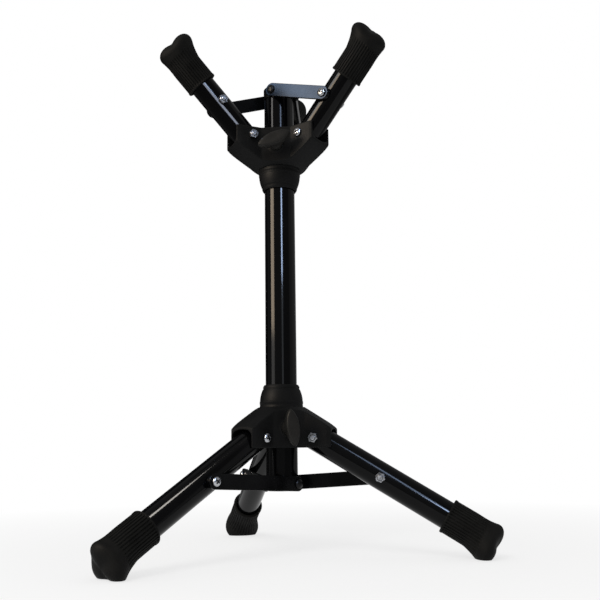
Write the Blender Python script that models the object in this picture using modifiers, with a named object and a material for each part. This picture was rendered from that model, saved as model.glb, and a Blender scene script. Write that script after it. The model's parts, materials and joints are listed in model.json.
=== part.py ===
"""Folding double tripod stand for a handpan.

A vertical tube carries two sliding hubs, each clamped by a wing knob. The lower hub spreads
three legs, the upper one is the same moulding turned over and spreads three shorter arms.
Every limb turns on a bolt through its hub and is tied by a flat link to the end of the tube,
so that sliding a hub along the tube folds its three limbs together.
Metres, +Z up, the soles on z = 0.
"""
import math

import bmesh
import bpy
from mathutils import Matrix, Vector

# Clearances
GAP = 0.0003
HOLE_GAP = 0.0003

# Central tube
TUBE_RADIUS = 0.015
TUBE_WALL = 0.0015
TUBE_SIDES = 32

# Legs and arms, cut from the same tube
LIMB_RADIUS = 0.0125
LIMB_WALL = 0.0015
LIMB_TAIL = 0.0075
LIMB_SIDES = 20
LEG_LENGTH = 0.1810
ARM_LENGTH = 0.1126

# How the stand is set up in use
LEG_TILT = math.radians(30.75)
ARM_TILT = math.radians(46.3)
LOWER_TURN = math.radians(-15.5)
UPPER_TURN = math.radians(-157.15)
HUB_SPACING = 0.2953
SOLE_CUT = 0.0042

# Hub moulding, measured from the height of its three pivots
PIVOT_RADIUS = 0.0345
HUB_REACH = 0.0512
HUB_SKIRT = 0.0090
HUB_SIDES = 36
PANEL_REACH = 0.0264
COLLAR_TOP_RADIUS = 0.0175
COLLAR_BASE_RADIUS = 0.0208
COLLAR_BASE_HEIGHT = 0.0293
COLLAR_HEIGHT = 0.0503
COLLAR_CHAMFER = 0.0014
CORE_WALL = 0.0037
EAR_CLEARANCE = 0.0005
EAR_WALL = 0.0025
EAR_TAPER = 0.0009
EAR_TAPER_LENGTH = 0.0038
ROOF_WALL = 0.0025
ROOF_LEDGE = 0.0017
ROOF_SLOPE = math.radians(32.6)
ROOF_BEND_LENGTH = 0.0072
ROOF_BEND_DROP = 0.0007
CHANNEL_SHOULDER = 0.0105

# Wing knob and its clamping stud
KNOB_AXIS_HEIGHT = 0.0090
KNOB_TURN = math.radians(-60)
KNOB_BOSS_RADIUS = 0.0080
KNOB_BOSS_HEIGHT = 0.0006
KNOB_NECK_RADIUS = 0.0072
KNOB_NECK_LENGTH = 0.0035
KNOB_WING_LENGTH = 0.0340
KNOB_WING_THICKNESS = 0.0124
KNOB_WING_DEPTH = 0.0132
LOWER_KNOB_SPIN = math.radians(8)
UPPER_KNOB_SPIN = math.radians(112)
STUD_RADIUS = 0.0030
STUD_ENGAGEMENT = 0.0120

# Fasteners
BOLT_RADIUS = 0.0025
BOLT_SIDES = 8
HEAD_RADIUS = 0.0042
HEAD_HEIGHT = 0.0028
NUT_ACROSS_FLATS = 0.0080
NUT_HEIGHT = 0.0040
THREAD_END = 0.0010
PIVOT_HEAD_RADIUS = 0.0044
PIVOT_HEAD_HEIGHT = 0.0024

# Link bars
LINK_WIDTH = 0.0135
LINK_THICKNESS = 0.0025
LINK_BOSS_RADIUS = 0.0062
LEG_LINK_BOLT = 0.0710
ARM_LINK_BOLT = 0.0445
LEG_INNER_PIVOT_OFFSET = -0.0040
ARM_INNER_PIVOT_OFFSET = 0.0034
LEG_INNER_PIVOT_DROP = 0.0422
ARM_INNER_PIVOT_DROP = 0.0535

# End blocks, which close the tube and carry the inner pivots
END_HEAD_RADIUS = 0.0156
END_HEAD_INSET = 0.0005
END_HEAD_CHAMFER = 0.0010
END_SPIGOT_LENGTH = 0.0220
PIVOT_HOLE_DEPTH = 0.0080

# Rubber feet
FOOT_LENGTH = 0.0515
FOOT_END_WALL = 0.0073
FOOT_SLEEVE_RADIUS = 0.0155
FOOT_LIP = 0.0004
FOOT_TOE_RADIUS = 0.0198
FOOT_VALLEY_RADIUS = 0.0181
FOOT_VALLEY_DEPTH = 0.0026
FOOT_OFFSET = 0.0030
FOOT_SLANT = 0.037
FOOT_TOES = 3
FOOT_DENT = 0.0024
FOOT_SIDES = 24

LIMB_COUNT = 3
CUTTER_REACH = 0.08

# Values that follow from the driving dimensions
HUB_BORE_RADIUS = TUBE_RADIUS + GAP
CORE_WALL_RADIUS = HUB_BORE_RADIUS + CORE_WALL
EAR_INNER = LIMB_RADIUS + EAR_CLEARANCE
EAR_OUTER = EAR_INNER + EAR_WALL
ROOF_START = COLLAR_BASE_RADIUS + ROOF_LEDGE
ROOF_BEND_START = HUB_REACH - ROOF_BEND_LENGTH
KNOB_BOSS_REACH = PANEL_REACH + KNOB_BOSS_HEIGHT
END_HEAD_HALF = LINK_WIDTH / 2 - END_HEAD_INSET
BOLT_HOLE_RADIUS = BOLT_RADIUS + HOLE_GAP
STUD_HOLE_RADIUS = STUD_RADIUS + HOLE_GAP
LINK_INNER_FACE = TUBE_RADIUS + GAP
LINK_OUTER_FACE = LINK_INNER_FACE + LINK_THICKNESS
FOOT_BORE_RADIUS = LIMB_RADIUS + GAP
FOOT_BORE_DEPTH = FOOT_LENGTH - FOOT_END_WALL
LEG_FOOT_START = LEG_LENGTH + GAP - FOOT_BORE_DEPTH
ARM_FOOT_START = ARM_LENGTH + GAP - FOOT_BORE_DEPTH


def clear_scene():
    for item in list(bpy.data.objects):
        bpy.data.objects.remove(item, do_unlink=True)
    for group in list(bpy.data.collections):
        bpy.data.collections.remove(group)


def new_collection(name):
    group = bpy.data.collections.new(name)
    bpy.context.scene.collection.children.link(group)
    return group


def new_material(name, colour, roughness, metallic=0.0):
    material = bpy.data.materials.new(name)
    material.use_nodes = True
    shader = material.node_tree.nodes["Principled BSDF"]
    shader.inputs["Base Color"].default_value = (*colour, 1.0)
    shader.inputs["Roughness"].default_value = roughness
    shader.inputs["Metallic"].default_value = metallic
    return material


# Building blocks


def tool_object(name, mesh):
    """Put a mesh among the tools, which shape other pieces and are not pieces themselves."""
    tool = bpy.data.objects.new(name, mesh)
    tool.display_type = "WIRE"
    tool.hide_render = True
    tools.objects.link(tool)
    return tool


def mesh_from_bmesh(name, shape):
    bmesh.ops.recalc_face_normals(shape, faces=shape.faces)
    mesh = bpy.data.meshes.new(name)
    shape.to_mesh(mesh)
    shape.free()
    return mesh


def cylinder(name, radius, low, high, sides):
    """A cylinder along Z from low to high, as a tool."""
    shape = bmesh.new()
    bmesh.ops.create_cone(
        shape, cap_ends=True, segments=sides, radius1=radius, radius2=radius,
        depth=high - low, matrix=Matrix.Translation((0, 0, (low + high) / 2)),
    )
    return tool_object(name, mesh_from_bmesh(name, shape))


def loft(name, rings):
    """A closed solid through rings of equally many points, flat at both ends."""
    shape = bmesh.new()
    loops = [[shape.verts.new(point) for point in ring] for ring in rings]
    for first, second in zip(loops, loops[1:]):
        for index, corner in enumerate(first):
            previous = index - 1
            shape.faces.new((first[previous], corner, second[index], second[previous]))
    shape.faces.new(loops[0])
    shape.faces.new(loops[-1])
    return tool_object(name, mesh_from_bmesh(name, shape))


def turned(name, profile, sides, closed=False):
    """Turn a profile of (radius, height) points, run down its outer side, about Z."""
    shape = bmesh.new()
    points = [shape.verts.new((radius, 0, height)) for radius, height in profile]
    for first, second in zip(points, points[1:]):
        shape.edges.new((first, second))
    if closed:
        shape.edges.new((points[-1], points[0]))
    mesh = bpy.data.meshes.new(name)
    shape.to_mesh(mesh)
    shape.free()
    tool = tool_object(name, mesh)
    screw = tool.modifiers.new("turn", "SCREW")
    screw.axis = "Z"
    screw.steps = sides
    screw.render_steps = sides
    screw.use_merge_vertices = True
    screw.merge_threshold = 0.00001
    return tool


def shaped(base, within=(), joined=(), cut=()):
    """The mesh of a tool kept within other tools, with more joined to it and cut from it."""
    steps = (("INTERSECT", within), ("UNION", joined), ("DIFFERENCE", cut))
    for operation, others in steps:
        for other in others:
            boolean = base.modifiers.new(other.name, "BOOLEAN")
            boolean.operation = operation
            boolean.solver = "EXACT"
            boolean.object = other
    bpy.context.view_layer.update()
    depsgraph = bpy.context.evaluated_depsgraph_get()
    mesh = bpy.data.meshes.new_from_object(base.evaluated_get(depsgraph))
    mesh.name = base.name
    mesh.shade_smooth()
    mesh.set_sharp_from_angle(angle=math.radians(35))
    return mesh


def turn_z(angle):
    return Matrix.Rotation(angle, 4, "Z")


def limb_side(angle=0.0):
    """Turn Z into the sideways direction of the limb at this angle round the hub."""
    return turn_z(angle) @ Matrix.Rotation(math.radians(-90), 4, "X")


# Central tube and its end blocks


def pipe_mesh(name, radius, wall, low, high, sides, holes=()):
    profile = [(radius, high), (radius, low), (radius - wall, low), (radius - wall, high)]
    return shaped(turned(name, profile, sides, closed=True), cut=holes)


def end_block_mesh(name, inner_offset):
    """Spigot up into the tube and a head with three flats, each with one pivot hole.

    The origin is at the height of the pivots and +Z points into the tube.
    """
    head = END_HEAD_HALF
    seat = head - GAP
    spigot_radius = TUBE_RADIUS - TUBE_WALL - GAP
    profile = [
        (0, seat + END_SPIGOT_LENGTH),
        (spigot_radius - GAP, seat + END_SPIGOT_LENGTH),
        (spigot_radius, seat + END_SPIGOT_LENGTH - GAP),
        (spigot_radius, seat),
        (END_HEAD_RADIUS, seat),
        (END_HEAD_RADIUS, END_HEAD_CHAMFER - head),
        (END_HEAD_RADIUS - END_HEAD_CHAMFER, -head),
        (0, -head),
    ]
    cuts = []
    for index in range(LIMB_COUNT):
        sideways = limb_side(index * 2 * math.pi / LIMB_COUNT)
        flat = cylinder(f"{name}_flat_{index}", CUTTER_REACH, TUBE_RADIUS, CUTTER_REACH, 4)
        flat.matrix_world = sideways
        hole = cylinder(
            f"{name}_hole_{index}", BOLT_HOLE_RADIUS,
            TUBE_RADIUS - PIVOT_HOLE_DEPTH, CUTTER_REACH, BOLT_SIDES,
        )
        hole.matrix_world = turn_z(index * 2 * math.pi / LIMB_COUNT) @ Matrix.Translation(
            (inner_offset, 0, 0)
        ) @ limb_side()
        cuts += [flat, hole]
    return shaped(turned(name, profile, TUBE_SIDES), cut=cuts)


# Hub moulding


def roof_height(radius):
    """Height of the roof: a cone from the collar that bends down to the ends of the ears."""
    fall = max(radius - ROOF_START, 0.0) * math.tan(ROOF_SLOPE)
    bend = max(radius - ROOF_BEND_START, 0.0) / ROOF_BEND_LENGTH
    return COLLAR_BASE_HEIGHT - fall - ROOF_BEND_DROP * bend ** 2


def arch_ring(radius, half_width, bottom, top, shoulder):
    """An inverted U across a limb: upright sides and a rounded roof."""
    steps = 8
    ring = [(radius, -half_width, bottom), (radius, -half_width, top - shoulder)]
    for step in range(1, steps):
        angle = math.pi * (1 - step / steps)
        across = half_width * math.copysign(abs(math.cos(angle)) ** 0.8, math.cos(angle))
        rise = shoulder * math.sin(angle) ** 0.8
        ring.append((radius, across, top - shoulder + rise))
    ring += [(radius, half_width, top - shoulder), (radius, half_width, bottom)]
    return ring


def hub_plan():
    """The hub seen from above: three arms with tapered ends and flat panels between them."""
    corner = (PANEL_REACH - EAR_OUTER * math.sin(math.radians(60))) / math.cos(math.radians(60))
    half = [
        (corner, EAR_OUTER),
        (HUB_REACH - EAR_TAPER_LENGTH, EAR_OUTER),
        (HUB_REACH, EAR_OUTER - EAR_TAPER),
    ]
    outline = [(along, -across) for along, across in half] + half[::-1]
    rings = []
    for height in (-CUTTER_REACH, CUTTER_REACH):
        ring = []
        for index in range(LIMB_COUNT):
            turn = turn_z(index * 2 * math.pi / LIMB_COUNT)
            ring += [turn @ Vector((along, across, height)) for along, across in outline]
        rings.append(ring)
    return loft("hub_plan", rings)


def channel(index):
    """The room that one limb turns in, open below and outwards."""
    below = -HUB_SKIRT - LIMB_RADIUS
    stations = [CORE_WALL_RADIUS, ROOF_START, ROOF_BEND_START, HUB_REACH, HUB_REACH + LIMB_RADIUS]
    rings = [
        arch_ring(
            radius, EAR_INNER, below,
            roof_height(min(radius, HUB_REACH)) - ROOF_WALL, CHANNEL_SHOULDER,
        )
        for radius in stations
    ]
    tool = loft(f"hub_channel_{index}", rings)
    tool.matrix_world = turn_z(index * 2 * math.pi / LIMB_COUNT)
    return tool


def pocket(name, angle):
    """A hollow behind a panel, between the ears of two limbs, open below."""
    spread = math.radians(60)
    inner = EAR_OUTER / math.sin(spread) + GAP
    outer = PANEL_REACH - ROOF_WALL
    corners = [
        (reach, (reach * math.sin(spread) - EAR_OUTER) / math.cos(spread))
        for reach in (inner, outer)
    ]
    outline = [(reach, -half) for reach, half in corners] + corners[::-1]
    top = roof_height(math.hypot(*corners[1])) - ROOF_WALL
    rings = [[(x, y, height) for x, y in outline] for height in (-CUTTER_REACH, top)]
    tool = loft(name, rings)
    tool.matrix_world = turn_z(angle)
    return tool


def crown():
    """The collar and the roof, turned about the column, down to the hub's lower edge."""
    profile = [
        (0, COLLAR_HEIGHT),
        (COLLAR_TOP_RADIUS - COLLAR_CHAMFER, COLLAR_HEIGHT),
        (COLLAR_TOP_RADIUS, COLLAR_HEIGHT - COLLAR_CHAMFER),
    ]
    steps = 4
    for step in range(1, steps + 1):
        share = step / steps
        bulge = math.sin(share * math.pi / 2)
        radius = COLLAR_TOP_RADIUS + (COLLAR_BASE_RADIUS - COLLAR_TOP_RADIUS) * bulge
        drop = (COLLAR_HEIGHT - COLLAR_CHAMFER - COLLAR_BASE_HEIGHT) * share
        profile.append((radius, COLLAR_HEIGHT - COLLAR_CHAMFER - drop))
    corner = math.hypot(HUB_REACH, EAR_OUTER)
    for radius in (ROOF_START, ROOF_BEND_START, (ROOF_BEND_START + HUB_REACH) / 2, corner):
        profile.append((radius, roof_height(radius)))
    profile += [(corner, -HUB_SKIRT), (0, -HUB_SKIRT)]
    return turned("hub", profile, HUB_SIDES)


def hub_mesh():
    knob_axis = (
        turn_z(KNOB_TURN)
        @ Matrix.Translation((0, 0, KNOB_AXIS_HEIGHT))
        @ Matrix.Rotation(math.radians(90), 4, "Y")
    )
    boss = cylinder("hub_knob_boss", KNOB_BOSS_RADIUS, TUBE_RADIUS, KNOB_BOSS_REACH, LIMB_SIDES)
    boss.matrix_world = knob_axis
    stud_hole = cylinder(
        "hub_stud_hole", STUD_HOLE_RADIUS, TUBE_RADIUS / 2, CUTTER_REACH, BOLT_SIDES
    )
    stud_hole.matrix_world = knob_axis
    bore = cylinder("hub_bore", HUB_BORE_RADIUS, -CUTTER_REACH, CUTTER_REACH, HUB_SIDES)
    cuts = []
    for index in range(LIMB_COUNT):
        angle = index * 2 * math.pi / LIMB_COUNT
        cuts.append(channel(index))
        pivot_hole = cylinder(
            f"hub_pivot_hole_{index}", BOLT_HOLE_RADIUS,
            -EAR_OUTER - HUB_SKIRT, EAR_OUTER + HUB_SKIRT, BOLT_SIDES,
        )
        pivot_hole.matrix_world = (
            turn_z(angle) @ Matrix.Translation((PIVOT_RADIUS, 0, 0)) @ limb_side()
        )
        cuts.append(pivot_hole)
    for index in range(1, LIMB_COUNT):
        cuts.append(pocket(f"hub_pocket_{index}", KNOB_TURN + index * 2 * math.pi / LIMB_COUNT))
    return shaped(crown(), within=[hub_plan()], joined=[boss], cut=cuts + [bore, stud_hole])


# Limbs


def limb_mesh(name, length, link_bolt):
    holes = []
    for label, place in (("pivot", 0.0), ("link", link_bolt)):
        hole = cylinder(
            f"{name}_{label}_hole", BOLT_HOLE_RADIUS, -CUTTER_REACH, CUTTER_REACH, BOLT_SIDES
        )
        hole.matrix_world = Matrix.Translation((0, 0, place)) @ limb_side()
        holes.append(hole)
    return pipe_mesh(name, LIMB_RADIUS, LIMB_WALL, -LIMB_TAIL, length, LIMB_SIDES, holes)


# Rubber feet


def foot_stations():
    """Outer form of a foot from its mouth: (depth, toe radius, valley radius, swell, crease)."""
    sleeve = FOOT_SLEEVE_RADIUS
    toe = FOOT_TOE_RADIUS
    valley = FOOT_VALLEY_RADIUS
    length = FOOT_LENGTH
    stations = [
        (0.0, sleeve, sleeve, 0.0, 0.0),
        (0.0008, sleeve + FOOT_LIP, sleeve + FOOT_LIP, 0.0, 0.0),
        (0.0034, sleeve, sleeve, 0.0, 0.0),
        (length * 0.45, sleeve, sleeve, 0.0, 0.0),
    ]
    for depth, swell in ((0.64, 0.52), (0.74, 0.77), (0.834, 1.0)):
        stations.append((
            length * depth, sleeve + (toe - sleeve) * swell,
            sleeve + (valley - sleeve) * swell, swell, swell,
        ))
    for depth, share, crease in (
        (0.906, 0.945, 1.0), (0.957, 0.79, 1.0), (0.99, 0.52, 0.9), (0.99, 0.30, 0.5),
    ):
        stations.append((length * depth, toe * share, valley * share, 1.0, crease))
    stations.append((length - FOOT_DENT, toe * 0.08, toe * 0.08, 1.0, 0.0))
    return stations


def foot_ring(depth, toe, valley, swell, crease):
    """One round of the foot, slanted, and drawn in between its toes. One toe points up."""
    ring = []
    for side in range(FOOT_SIDES):
        angle = 2 * math.pi * side / FOOT_SIDES
        between = 0.5 + 0.5 * math.cos(FOOT_TOES * angle)
        reach = toe - (toe - valley) * between
        across = reach * math.cos(angle)
        ring.append((
            FOOT_OFFSET * swell + across, reach * math.sin(angle),
            depth + FOOT_SLANT * across * swell - FOOT_VALLEY_DEPTH * crease * between,
        ))
    return ring


def foot_tool(name):
    rings = [
        foot_ring(FOOT_BORE_DEPTH, FOOT_BORE_RADIUS, FOOT_BORE_RADIUS, 0.0, 0.0),
        foot_ring(0.0, FOOT_BORE_RADIUS, FOOT_BORE_RADIUS, 0.0, 0.0),
    ]
    rings += [foot_ring(*station) for station in foot_stations()]
    return loft(name, rings)


def hub_height():
    """Height of the lower pivots that puts the flat of each sole on z = 0."""
    lowest = max(
        (LEG_FOOT_START + point[2]) * math.sin(LEG_TILT) + point[0] * math.cos(LEG_TILT)
        for station in foot_stations() for point in foot_ring(*station)
    )
    return lowest - SOLE_CUT


def leg_foot_mesh():
    """A foot with the flat that it stands on, in the leg's own directions."""
    floor = cylinder("sole_cut", CUTTER_REACH, hub_height(), hub_height() + CUTTER_REACH, 4)
    outwards = (LEG_FOOT_START + FOOT_LENGTH) * math.cos(LEG_TILT)
    floor.matrix_world = (
        Matrix.Translation((0, 0, -LEG_FOOT_START))
        @ Matrix.Rotation(math.radians(90) - LEG_TILT, 4, "Y")
        @ Matrix.Translation((-outwards, 0, 0))
    )
    return shaped(foot_tool("leg_foot"), cut=[floor])


# Links and fasteners


def link_mesh(name, length):
    """A flat bar with round ends and a spacing boss, its outer hole at the origin."""
    half = LINK_WIDTH / 2
    steps = 6
    outline = []
    for centre, start in ((length, 0.0), (0.0, math.pi)):
        for step in range(steps + 1):
            angle = start + math.pi * step / steps
            outline.append((half * math.cos(angle), centre + half * math.sin(angle)))
    rings = [
        [(across, side, along) for across, along in outline]
        for side in (LINK_INNER_FACE, LINK_OUTER_FACE)
    ]
    bar = loft(name, rings)
    boss = cylinder(
        f"{name}_boss", LINK_BOSS_RADIUS,
        LIMB_RADIUS + GAP, LINK_INNER_FACE + LINK_THICKNESS / 2, LIMB_SIDES,
    )
    boss.matrix_world = limb_side()
    holes = []
    for label, place in (("outer", 0.0), ("inner", length)):
        hole = cylinder(f"{name}_{label}_hole", BOLT_HOLE_RADIUS, 0, CUTTER_REACH, BOLT_SIDES)
        hole.matrix_world = Matrix.Translation((0, 0, place)) @ limb_side()
        holes.append(hole)
    return shaped(bar, joined=[boss], cut=holes)


def bolt_mesh(name, seat, tail):
    """A pan head bolt along Z, its head seated at this height and its end at the tail."""
    top = seat + HEAD_HEIGHT
    profile = [
        (0, top),
        (HEAD_RADIUS * 0.72, top),
        (HEAD_RADIUS, top - HEAD_HEIGHT * 0.4),
        (HEAD_RADIUS, seat),
        (BOLT_RADIUS, seat),
        (BOLT_RADIUS, tail + THREAD_END * 0.4),
        (BOLT_RADIUS * 0.8, tail),
        (0, tail),
    ]
    return shaped(turned(name, profile, BOLT_SIDES))


def nut_mesh():
    """A hexagon nut, its seat at z = 0 and its free face below."""
    corner = NUT_ACROSS_FLATS / 2 / math.cos(math.pi / 6)
    body = cylinder("nut", corner, -NUT_HEIGHT, 0, 6)
    hole = cylinder("nut_hole", BOLT_HOLE_RADIUS, -CUTTER_REACH, CUTTER_REACH, BOLT_SIDES)
    return shaped(body, cut=[hole])


def inner_pivot_mesh():
    """A low domed pivot that ends flush with the inner face of its link."""
    seat = LINK_OUTER_FACE + GAP
    steps = 3
    profile = [(0, seat + PIVOT_HEAD_HEIGHT)]
    for step in range(1, steps + 1):
        angle = math.pi / 2 * step / steps
        profile.append(
            (PIVOT_HEAD_RADIUS * math.sin(angle), seat + PIVOT_HEAD_HEIGHT * math.cos(angle))
        )
    profile += [
        (BOLT_RADIUS, seat),
        (BOLT_RADIUS, LINK_INNER_FACE),
        (0, LINK_INNER_FACE),
    ]
    return shaped(turned("inner_pivot", profile, BOLT_SIDES))


# Wing knob


def knob_ring(depth, blend, scale):
    """One outline across the knob's axis, from the round neck to the leaf-shaped wing."""
    sides = 20
    ring = []
    for side in range(sides):
        angle = 2 * math.pi * side / sides
        leaf = math.copysign(abs(math.sin(angle)) ** 1.35, math.sin(angle))
        along = KNOB_WING_LENGTH / 2 * math.cos(angle) * scale
        across = KNOB_WING_THICKNESS / 2 * leaf * scale
        neck_along = KNOB_NECK_RADIUS * math.cos(angle)
        neck_across = KNOB_NECK_RADIUS * math.sin(angle)
        ring.append((
            neck_along + (along - neck_along) * blend,
            neck_across + (across - neck_across) * blend,
            depth,
        ))
    return ring


def knob_mesh():
    start = KNOB_BOSS_REACH + GAP
    wing = start + KNOB_NECK_LENGTH
    face = wing + KNOB_WING_DEPTH
    rings = [
        knob_ring(start, 0.0, 1.0),
        knob_ring(wing, 0.0, 1.0),
        knob_ring(wing + KNOB_WING_DEPTH * 0.25, 0.75, 0.97),
        knob_ring(wing + KNOB_WING_DEPTH * 0.45, 1.0, 1.0),
        knob_ring(wing + KNOB_WING_DEPTH * 0.80, 1.0, 1.0),
        knob_ring(face - KNOB_WING_DEPTH * 0.05, 1.0, 0.93),
        knob_ring(face, 1.0, 0.80),
    ]
    hole = cylinder(
        "knob_stud_hole", STUD_HOLE_RADIUS, 0, start + STUD_ENGAGEMENT + GAP, BOLT_SIDES
    )
    return shaped(loft("knob", rings), cut=[hole])


def stud_mesh():
    high = KNOB_BOSS_REACH + GAP + STUD_ENGAGEMENT
    stud = cylinder("knob_stud", STUD_RADIUS, TUBE_RADIUS + GAP, high, BOLT_SIDES)
    return shaped(stud)


# Putting the stand together


def add_frame(name, parent, matrix):
    """An empty that carries what moves with it."""
    frame = bpy.data.objects.new(name, None)
    frame.empty_display_size = 0.02
    parts.objects.link(frame)
    frame.parent = parent
    frame.matrix_local = matrix
    return frame


def add_part(name, mesh, parent, material, matrix=None):
    part = bpy.data.objects.new(name, mesh)
    parts.objects.link(part)
    part.parent = parent
    part.matrix_local = matrix or Matrix.Identity(4)
    part.material_slots or part.data.materials.append(material)
    return part


def add_end_block(prefix, mesh, parent, matrix):
    add_part(f"{prefix}_end_block", mesh, parent, black_plastic, matrix)


def add_tripod(prefix, parent, matrix, tripod):
    """One hub with its knob, three limbs, links and fasteners."""
    slider = add_frame(f"{prefix}_slide", parent, matrix)
    add_part(f"{prefix}_hub", meshes["hub"], slider, black_plastic)
    knob_frame = add_frame(
        f"{prefix}_knob_turn", slider,
        turn_z(KNOB_TURN)
        @ Matrix.Translation((0, 0, KNOB_AXIS_HEIGHT))
        @ Matrix.Rotation(math.radians(90), 4, "Y")
        @ turn_z(tripod["knob_spin"]),
    )
    add_part(f"{prefix}_knob", meshes["knob"], knob_frame, black_plastic)
    add_part(f"{prefix}_knob_stud", meshes["stud"], knob_frame, zinc)
    for index, side in enumerate(tripod["sides"]):
        add_limb(prefix, side, slider, index * 2 * math.pi / LIMB_COUNT, tripod)


def add_limb(prefix, side, slider, angle, tripod):
    name = f"{prefix}_{tripod['limb']}_{side}"
    link_name = f"{prefix}_link_{side}"
    pivot = turn_z(angle) @ Matrix.Translation((PIVOT_RADIUS, 0, 0))
    across = pivot @ limb_side()
    add_part(f"{name}_pivot_bolt", meshes["pivot_bolt"], slider, zinc, across)
    nut_place = Matrix.Translation((0, 0, -EAR_OUTER - GAP))
    add_part(f"{name}_pivot_nut", meshes["nut"], slider, zinc, across @ nut_place)

    turn = add_frame(
        f"{name}_turn", slider,
        pivot @ Matrix.Rotation(math.radians(90) + tripod["tilt"], 4, "Y"),
    )
    add_part(name, meshes[tripod["limb"]], turn, black_paint)
    foot_place = Matrix.Translation((0, 0, tripod["foot_start"]))
    add_part(f"{name}_foot", meshes[tripod["limb"] + "_foot"], turn, rubber, foot_place)
    bolt_place = Matrix.Translation((0, 0, tripod["link_bolt"]))
    add_part(
        f"{link_name}_bolt", meshes["link_bolt"], turn, zinc, bolt_place @ limb_side()
    )
    add_part(
        f"{link_name}_nut", meshes["nut"], turn, zinc,
        bolt_place @ limb_side() @ Matrix.Translation((0, 0, -LIMB_RADIUS - GAP)),
    )

    link_turn = add_frame(
        f"{link_name}_turn", turn,
        bolt_place @ Matrix.Rotation(link_swing(tripod), 4, "Y"),
    )
    add_part(link_name, meshes[tripod["limb"] + "_link"], link_turn, link_paint)
    inner = Matrix.Translation((0, 0, link_vector(tripod).length))
    add_part(
        f"{link_name}_inner_pivot", meshes["inner_pivot"], link_turn, black_steel,
        inner @ limb_side(),
    )


def link_vector(tripod):
    """From a limb's link bolt to the inner pivot: outwards and upwards from the hub."""
    outwards = PIVOT_RADIUS + tripod["link_bolt"] * math.cos(tripod["tilt"])
    upwards = -tripod["link_bolt"] * math.sin(tripod["tilt"])
    return Vector((tripod["inner_offset"] - outwards, -tripod["inner_drop"] - upwards))


def link_swing(tripod):
    """Angle between a limb and its link, about the link bolt."""
    vector = link_vector(tripod)
    tilt = tripod["tilt"]
    along = vector.dot(Vector((math.cos(tilt), -math.sin(tilt))))
    down = vector.dot(Vector((-math.sin(tilt), -math.cos(tilt))))
    return math.atan2(down, along)


def centre_on_footprint(frame):
    """Move the stand so that the middle of its outline on the floor is at the origin."""
    bpy.context.view_layer.update()
    corners = [
        item.matrix_world @ vertex.co
        for item in parts.objects if item.type == "MESH"
        for vertex in item.data.vertices
    ]
    for axis in range(2):
        low = min(corner[axis] for corner in corners)
        high = max(corner[axis] for corner in corners)
        frame.location[axis] = -(low + high) / 2


LOWER = {
    "limb": "leg",
    "sides": ("right", "back", "left"),
    "tilt": LEG_TILT,
    "foot_start": LEG_FOOT_START,
    "link_bolt": LEG_LINK_BOLT,
    "inner_offset": LEG_INNER_PIVOT_OFFSET,
    "inner_drop": LEG_INNER_PIVOT_DROP,
    "knob_spin": LOWER_KNOB_SPIN,
}
UPPER = {
    "limb": "arm",
    "sides": ("left", "back", "right"),
    "tilt": ARM_TILT,
    "foot_start": ARM_FOOT_START,
    "link_bolt": ARM_LINK_BOLT,
    "inner_offset": ARM_INNER_PIVOT_OFFSET,
    "inner_drop": ARM_INNER_PIVOT_DROP,
    "knob_spin": UPPER_KNOB_SPIN,
}

clear_scene()
parts = new_collection("handpan_stand")
tools = new_collection("cutters")

black_paint = new_material("gloss_black_paint", (0.008, 0.008, 0.009), 0.18)
link_paint = new_material("satin_black_paint", (0.018, 0.021, 0.026), 0.38)
black_plastic = new_material("satin_black_plastic", (0.012, 0.012, 0.013), 0.45)
rubber = new_material("black_rubber", (0.010, 0.010, 0.010), 0.75)
zinc = new_material("bright_zinc", (0.75, 0.76, 0.78), 0.25, 1.0)
black_steel = new_material("black_steel", (0.015, 0.015, 0.017), 0.35, 0.6)

meshes = {
    "hub": hub_mesh(),
    "knob": knob_mesh(),
    "stud": stud_mesh(),
    "leg": limb_mesh("leg", LEG_LENGTH, LEG_LINK_BOLT),
    "arm": limb_mesh("arm", ARM_LENGTH, ARM_LINK_BOLT),
    "leg_foot": leg_foot_mesh(),
    "arm_foot": shaped(foot_tool("arm_foot")),
    "leg_link": link_mesh("leg_link", link_vector(LOWER).length),
    "arm_link": link_mesh("arm_link", link_vector(UPPER).length),
    "inner_pivot": inner_pivot_mesh(),
    "nut": nut_mesh(),
    "pivot_bolt": bolt_mesh(
        "pivot_bolt", EAR_OUTER + GAP, -EAR_OUTER - GAP - NUT_HEIGHT - THREAD_END
    ),
    "link_bolt": bolt_mesh(
        "link_bolt", LINK_OUTER_FACE + GAP, -LIMB_RADIUS - GAP - NUT_HEIGHT - THREAD_END
    ),
}

stand = add_frame("handpan_stand_frame", None, Matrix.Identity(4))
lower_matrix = Matrix.Translation((0, 0, hub_height())) @ turn_z(LOWER_TURN)
upper_matrix = (
    Matrix.Translation((0, 0, hub_height() + HUB_SPACING))
    @ turn_z(UPPER_TURN)
    @ Matrix.Rotation(math.radians(180), 4, "X")
)
add_tripod("lower", stand, lower_matrix, LOWER)
add_tripod("upper", stand, upper_matrix, UPPER)

lower_end = lower_matrix @ Matrix.Translation((0, 0, -LEG_INNER_PIVOT_DROP))
upper_end = upper_matrix @ Matrix.Translation((0, 0, -ARM_INNER_PIVOT_DROP))
add_end_block("lower", end_block_mesh("lower_end", LEG_INNER_PIVOT_OFFSET), stand, lower_end)
add_end_block("upper", end_block_mesh("upper_end", ARM_INNER_PIVOT_OFFSET), stand, upper_end)
tube_low = lower_end.translation.z + END_HEAD_HALF
tube_high = upper_end.translation.z - END_HEAD_HALF
tube = pipe_mesh("tube", TUBE_RADIUS, TUBE_WALL, 0.0, tube_high - tube_low, TUBE_SIDES)
add_part("central_tube", tube, stand, black_paint, Matrix.Translation((0, 0, tube_low)))

centre_on_footprint(stand)
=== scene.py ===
"""A folding double tripod stand for a handpan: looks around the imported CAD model."""
import json
import math

import bmesh
import bpy
from mathutils import Matrix, Vector


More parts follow.
